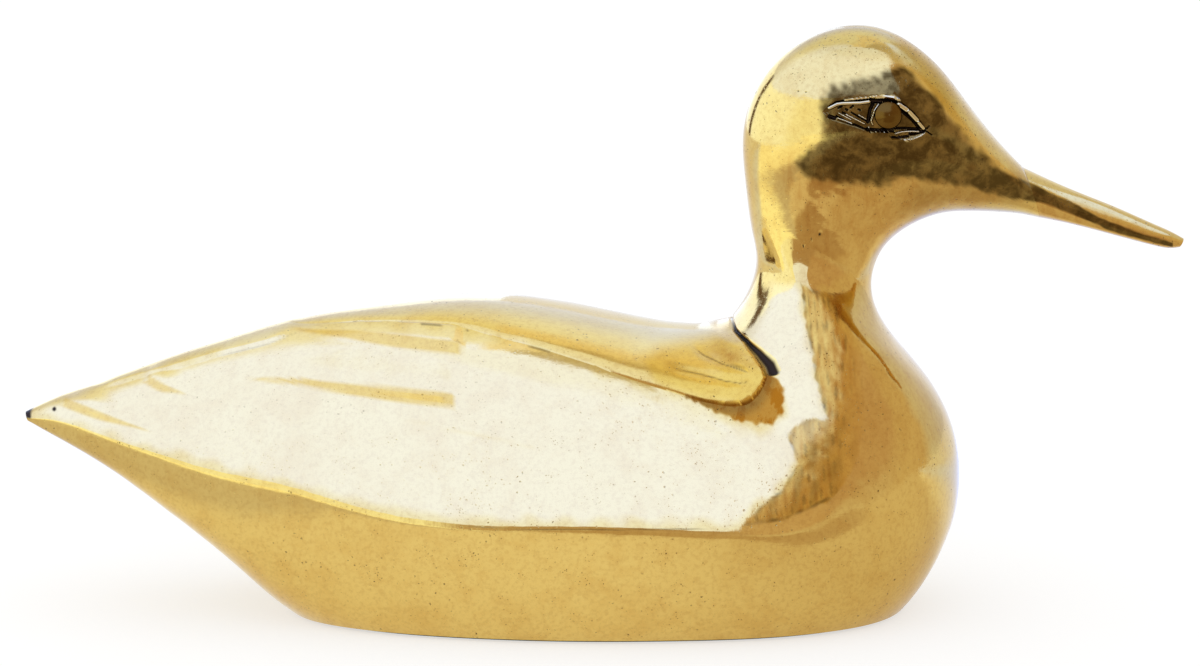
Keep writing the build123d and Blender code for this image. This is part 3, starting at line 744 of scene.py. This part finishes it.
# Materials
class Nodes:
    """Short hand for building a node tree."""

    def __init__(self, tree):
        self.tree = tree

    def add(self, kind, inputs=None, **settings):
        node = self.tree.nodes.new("ShaderNode" + kind)
        for name, value in settings.items():
            setattr(node, name, value)
        for key, value in (inputs or {}).items():
            socket = node.inputs[key]
            if isinstance(value, bpy.types.NodeSocket):
                self.tree.links.new(value, socket)
            elif isinstance(value, bpy.types.Node):
                self.tree.links.new(value.outputs[0], socket)
            else:
                socket.default_value = value
        return node

    def math(self, operation, *values, clamp=False):
        return self.add("Math", dict(enumerate(values)), operation=operation, use_clamp=clamp).outputs[0]

    def times(self, *values, clamp=False):
        return self.math("MULTIPLY", *values, clamp=clamp)

    def total(self, *parts):
        """The sum of values, each given with its weight."""
        out = 0.0
        for value, weight in parts:
            out = self.math("ADD", out, self.times(value, weight))
        return out

    def ease(self, value, low, high, to_low=0.0, to_high=1.0):
        """An even turn from to_low, up to low, to to_high, from high on."""
        return self.add("MapRange", {0: value, 1: low, 2: high, 3: to_low, 4: to_high},
                        interpolation_type="SMOOTHSTEP").outputs[0]

    def window(self, value, rise, fall):
        """1 between a soft rise and a soft fall."""
        return self.times(self.ease(value, *rise), self.ease(value, *fall, 1.0, 0.0))

    def layers(self, colour, value, steps):
        """Lays colours over a first one, each where the value has passed from one figure to the next."""
        for start, end, over in steps:
            colour = self.mix(self.ease(value, start, end), colour, over)
        return colour

    def mix(self, factor, a, b, blend="MIX"):
        return self.add("Mix", {0: factor, 6: a, 7: b}, data_type="RGBA", blend_type=blend).outputs[2]

    def noise(self, where, scale, detail=3.0, rough=0.55, warp=0.0):
        return self.add("TexNoise", {"Vector": where, "Scale": scale, "Detail": detail, "Roughness": rough,
                                     "Distortion": warp}).outputs[0]


def new_material(name):
    material = bpy.data.materials.new(name)
    material.use_nodes = True
    material.node_tree.nodes.clear()
    return material, Nodes(material.node_tree)


def stretch(nodes, where, scale):
    return nodes.add("Mapping", {"Vector": where, "Scale": scale})


# What the wear and the painted light and shade tint the brass to: painted gold reflection, painted sheen, brown stain
# and painted shade, tarnish and painted dark reflection, and pits and painted shade.
GOLD_REFLECTION_TINT, SHEEN_TINT, BROWN_TINT = (0.95, 0.82, 0.4, 1), (0.85, 0.7, 0.36, 1), (0.36, 0.115, 0.005, 1)
PATINA_AND_DARK_TINT, PIT_AND_SHADE_TINT = (0.088, 0.052, 0.012, 1), (0.03, 0.018, 0.01, 1)


def brass(name, colour, stain, rough):
    """Old polished brass: stained in clouds, with painted shade in its cuts, painted reflections and sheen, tarnish
    by place, pits and rubbing scratches.
    """
    material, n = new_material(name)
    where = n.add("TexCoord").outputs["Object"]
    clouds = n.noise(where, 60, 5, 0.62, 0.6)
    fine = n.noise(where, 210, 6, 0.68, 0.3)
    grain = n.noise(where, 950, 3, 0.6)
    amount = n.ease(n.total((clouds, 0.55), (fine, 0.45)), 0.42, 0.66)
    red, green, blue = colour
    tint = n.mix(n.times(amount, stain), (*colour, 1), (red * 0.86, green * 0.75, blue * 0.62, 1))
    tint = n.mix(n.ease(grain, 0.42, 0.72, 0.0, 0.45), tint, (red * 0.75, green * 0.66, blue * 0.6, 1))
    wear = {layer: n.add("Attribute", attribute_name=layer).outputs["Fac"] for layer in WEAR_AND_LIGHT_LAYERS}
    streaks = n.noise(stretch(n, where, (430.0, 430.0, 45.0)), 1.0, 4, 0.6, 0.4)
    tint = n.mix(wear["gold_reflection"], tint, n.mix(1.0, tint, GOLD_REFLECTION_TINT, "MULTIPLY"))
    brown = n.times(wear["stain_and_shade"], n.ease(streaks, 0.38, 0.66, 0.75, 1.25), clamp=True)
    brown = n.math("MAXIMUM", brown, n.math("SUBTRACT", n.times(wear["stain_and_shade"], 2.0), 1.05))
    tint = n.mix(brown, tint, BROWN_TINT)
    dull = n.times(wear["patina_and_painted_dark"], n.ease(fine, 0.38, 0.68, 1.0, 0.72))
    tint = n.mix(dull, tint, PATINA_AND_DARK_TINT)
    tint = n.mix(n.times(wear["polish_and_sheen"], 0.7), tint, SHEEN_TINT)
    shift = n.add("TexNoise", {"Vector": where, "Scale": 700.0}).outputs[1]
    shift = n.add("VectorMath", {0: shift, 3: 0.0012}, operation="SCALE")
    bent = n.add("VectorMath", {0: where, 1: shift}, operation="ADD")
    pits = n.add("TexVoronoi", {"Vector": bent, "Scale": 560.0})
    chosen = n.math("MAXIMUM", n.ease(n.noise(where, 80, 3, 0.6), 0.46, 0.66), wear["pitted"])
    pit = n.times(n.ease(pits, 0.17, 0.07), chosen)
    specks = n.add("TexVoronoi", {"Vector": bent, "Scale": 1250.0})
    chosen = n.math("MAXIMUM", n.ease(fine, 0.5, 0.62), wear["pitted"])
    pit = n.math("MAXIMUM", pit, n.times(n.ease(specks, 0.22, 0.1), chosen))
    pit = n.times(pit, n.ease(wear["polish_and_sheen"], 0.0, 0.6, 1.0, 0.45))
    dark = n.math("MAXIMUM", n.times(pit, 0.75), n.ease(wear["painted_dark"], 0.15, 0.8))
    tint = n.mix(dark, tint, PIT_AND_SHADE_TINT)
    rub = n.noise(stretch(n, where, (60.0, 900.0, 1400.0)), 1.0, 3, 0.6, 0.3)
    rub_two = n.noise(stretch(n, where, (700.0, 500.0, 60.0)), 1.0, 3, 0.6, 0.3)
    roughness = n.math("ADD", rough, n.times(n.math("SUBTRACT", fine, 0.4), 0.22), clamp=True)
    roughness = n.math("ADD", roughness, n.times(dark, 0.35), clamp=True)
    roughness = n.math("ADD", roughness, n.times(wear["gold_reflection"], 0.16), clamp=True)
    height = n.total((rub, 0.12), (rub_two, 0.16), (n.noise(where, 60, 3), 1.4),
                     (n.noise(where, 420, 3, 0.6), 0.22), (pit, -1.2))
    bump = n.add("Bump", {"Strength": 0.18, "Distance": 0.0004, "Height": height})
    shader = n.add("BsdfPrincipled", {"Base Color": tint, "Metallic": 1.0, "Roughness": roughness, "Normal": bump})
    n.add("OutputMaterial", {"Surface": shader})
    return material


def felt(name):
    material, n = new_material(name)
    where = n.add("TexCoord").outputs["Object"]
    fibre = n.noise(stretch(n, where, (900.0, 900.0, 300.0)), 1.0, 4, 0.7, 1.5)
    tint = n.mix(fibre, (0.01, 0.018, 0.012, 1), (0.05, 0.07, 0.05, 1))
    bump = n.add("Bump", {"Strength": 0.6, "Distance": 0.0004, "Height": fibre})
    shader = n.add("BsdfPrincipled", {"Base Color": tint, "Roughness": 0.95, "Normal": bump})
    n.add("OutputMaterial", {"Surface": shader})
    return material


def dress(node, material):
    """Puts a material on every slot of a CAD node or a piece."""
    if not node.material_slots:
        node.data.materials.append(material)
    for slot in node.material_slots:
        slot.material = material


# Each brass with its colour, how stained it is and how rough.
# The eyes' brass is painted nearly black, a painted dark reflection like the face's.
BRASSES = [("cast_brass", (0.74, 0.52, 0.15), 0.6, 0.07), ("eye_brass", (0.13, 0.066, 0.011), 0.7, 0.2),
           ("braze_brass", (0.8, 0.62, 0.3), 0.4, 0.4), ("sheet_brass", (0.7, 0.5, 0.17), 0.6, 0.32),
           ("screw_brass", (0.66, 0.48, 0.16), 0.5, 0.28)]
materials = {look[0]: brass(*look) for look in BRASSES}
materials["dark_felt"] = felt("dark_felt")

shell = half_shell()
for name, mirrored in (("left_half_shell", False), ("right_half_shell", True)):
    piece = shell.make(name.replace("_shell", "_casting"), mirrored)
    finish_mesh(piece)
    dress(piece, materials["cast_brass"])
    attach(piece, "root")
    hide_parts(name)
bill = bill_mesh().make("bill_casting")
finish_mesh(bill)
dress(bill, materials["cast_brass"])
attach(bill, "root")
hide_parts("bill")
for name, material in (("left_eye", "eye_brass"), ("right_eye", "eye_brass"), ("seam_braze", "braze_brass"),
                       ("base_plate", "sheet_brass"), ("base_screws", "screw_brass"), ("felt_pad", "dark_felt")):
    dress(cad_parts[name], materials[material])


# Floor, light and camera. The camera and matt things see white all round. The polished brass sees a studio with
# zones, given by their turn round the duck, 0 at the camera and 90 at the bill, and by their lift, in degrees.
WHITE = (1, 1, 1, 1)
FLOOR_HALF, FLOOR_GLOW, FLOOR_MATTE, FLOOR_MATTE_SHARE = 3.0, 1.1, (0.97, 0.97, 0.97, 1), 0.45
# The foot of the bright box overhead, as turn and lift.
BOX_FOOT = [
    (-180, 20), (-120, 26), (-60, 27), (-40, 26), (-20, 26), (4, 28), (14, 31), (20, 33), (27, 46), (34, 58),
    (60, 64), (90, 58), (110, 47), (120, 45), (138, 48), (146, 48), (151, 30), (180, 20)]
# The camera's height in degrees, its distance and aim in metres, and its film and lens in millimetres.
CAMERA_LIFT, CAMERA_DISTANCE, CAMERA_AIM, FILM, LENS = 10.5, 1.0, (-0.0006, 0, 0.069), 36.0, 119.7


def turn_of(n, right, back):
    """The direction round the duck in degrees."""
    return n.math("DEGREES", n.math("ARCTAN2", right, n.times(back, -1.0)))


def make_floor():
    """A white floor that the brass sees brown before the breast and the bill, and bright at the tail and behind."""
    mesh = bpy.data.meshes.new("floor")
    h = FLOOR_HALF
    mesh.from_pydata([(-h, -h, 0), (h, -h, 0), (h, h, 0), (-h, h, 0)], [], [(0, 1, 2, 3)])
    material, n = new_material("floor_white")
    right, back, _ = n.add("SeparateXYZ", {0: n.add("TexCoord").outputs["Object"]}).outputs
    brown = n.times(n.ease(right, -0.01, 0.09), n.ease(back, 0.0, 0.05, 1.0, 0.0))
    near = n.mix(brown, WHITE, (0.8, 0.73, 0.64, 1))
    front = n.window(turn_of(n, n.math("SUBTRACT", right, 0.06), back), (-28, -20), (34, 50))
    front = n.times(front, n.ease(back, -0.19, -0.16, 1.0, 0.0))
    near = n.mix(front, near, (0.62, 0.5, 0.4, 1))
    near = n.layers(near, right, [(-0.13, -0.17, (0.8, 0.8, 0.86, 1)), (-0.24, -0.42, (1.38, 1.53, 1.5, 1))])
    near = n.layers(near, back, [(0.03, 0.14, (0.9, 1.04, 1.6, 1)), (0.14, 0.3, (0.94, 0.98, 1.1, 1))])
    shown = n.mix(n.add("LightPath").outputs["Is Glossy Ray"], WHITE, near)
    glow = n.add("Emission", {"Color": shown, "Strength": FLOOR_GLOW})
    matte = n.add("BsdfDiffuse", {"Color": n.mix(1.0, shown, FLOOR_MATTE, "MULTIPLY")})
    both = n.add("MixShader", {0: FLOOR_MATTE_SHARE, 1: glow, 2: matte})
    n.add("OutputMaterial", {"Surface": both})
    mesh.materials.append(material)
    put("floor", mesh)


def box_foot(n, turn):
    """How high the foot of the bright box lies in a direction, in degrees."""
    node = n.add("FloatCurve", {1: n.math("DIVIDE", n.math("ADD", turn, 180.0), 360.0)})
    line = node.mapping.curves[0]
    places = [((a + 180) / 360, b / 90) for a, b in BOX_FOOT]
    line.points[0].location, line.points[1].location = places[0], places[-1]
    for place in places[1:-1]:
        line.points.new(*place)
    node.mapping.update()
    return n.times(node.outputs[0], 90.0)


def make_world():
    """A white studio: what the brass reflects is a bright overhead box, a dark front and a brown side."""
    world = bpy.data.worlds.new("studio")
    bpy.context.scene.world = world
    world.use_nodes = True
    world.node_tree.nodes.clear()
    n = Nodes(world.node_tree)
    right, back, up = n.add("SeparateXYZ", {0: n.add("TexCoord").outputs["Generated"]}).outputs
    turn = turn_of(n, right, back)
    away = n.math("ABSOLUTE", turn)
    lift = n.math("DEGREES", n.math("ARCSINE", up))

    # The box, from the camera's side to the bill's, then behind the duck, low beside the bill, high and overhead.
    bright = n.layers((1.2, 1.54, 3.2, 1), turn, [(60, 80, (1.0, 1.15, 2.0, 1))])
    behind = n.layers((1.25, 1.6, 3.2, 1), lift, [(8, 26, (0.93, 1.1, 1.7, 1)), (32, 56, (1.12, 1.28, 1.6, 1))])
    bright = n.layers(bright, away, [(105, 140, behind)])
    beside = n.times(n.window(turn, (100, 112), (138, 146)), n.ease(lift, 56.0, 62.0, 1.0, 0.0))
    bright = n.mix(beside, bright, (1.05, 1.42, 3.4, 1))
    high = n.mix(n.window(turn, (62, 85), (128, 144)), (1.14, 1.18, 1.25, 1), (0.76, 0.76, 0.78, 1))
    over = n.math("SUBTRACT", lift, n.ease(turn, 62.0, 80.0, 78.0, 56.0))
    bright = n.layers(bright, over, [(0, 8, high)])
    zenith = n.times(n.ease(lift, 66.0, 73.0), n.ease(away, 86.0, 100.0, 1.0, 0.0))
    bright = n.mix(zenith, bright, (1.18, 1.48, 2.8, 1))

    # The wall below it, from the tail past the camera to the bill and on, with one narrow dark edge behind.
    front = n.layers((0.66, 0.54, 0.46, 1), lift, [(8, 18, (0.62, 0.5, 0.43, 1))])
    brown = n.layers((0.8, 0.73, 0.66, 1), lift, [(2, 14, (0.74, 0.6, 0.5, 1))])
    side = n.layers((1.36, 1.64, 2.3, 1), turn, [
        (-62, -46, (1.3, 1.5, 1.75, 1)), (-27, -19, front), (16, 28, brown), (60, 80, (0.8, 0.7, 0.56, 1)),
        (98, 114, (0.82, 0.86, 0.98, 1)), (144, 160, (0.96, 1.02, 1.15, 1))])
    side = n.mix(n.window(turn, (-135, -131), (-126, -121)), side, (0.16, 0.11, 0.08, 1))

    shown = n.layers(side, n.math("SUBTRACT", lift, box_foot(n, turn)), [(-1, 2, bright)])
    plain = n.mix(n.add("LightPath").outputs["Is Glossy Ray"], WHITE, shown)
    n.add("OutputWorld", {"Surface": n.add("Background", {"Color": plain, "Strength": 1.0})})


def make_camera():
    """The photo's view: square to the duck's right side and a little from above."""
    lift = math.radians(CAMERA_LIFT)
    data = bpy.data.cameras.new("camera")
    data.sensor_width, data.lens = FILM, LENS
    camera = put("camera", data)
    camera.location = Vector(CAMERA_AIM) + CAMERA_DISTANCE * Vector((0, -math.cos(lift), math.sin(lift)))
    camera.rotation_euler = (math.radians(90) - lift, 0, 0)
    bpy.context.scene.camera = camera


make_floor()
make_world()
make_camera()
bpy.context.scene.view_settings.view_transform = "Standard"

bpy.context.view_layer.update()
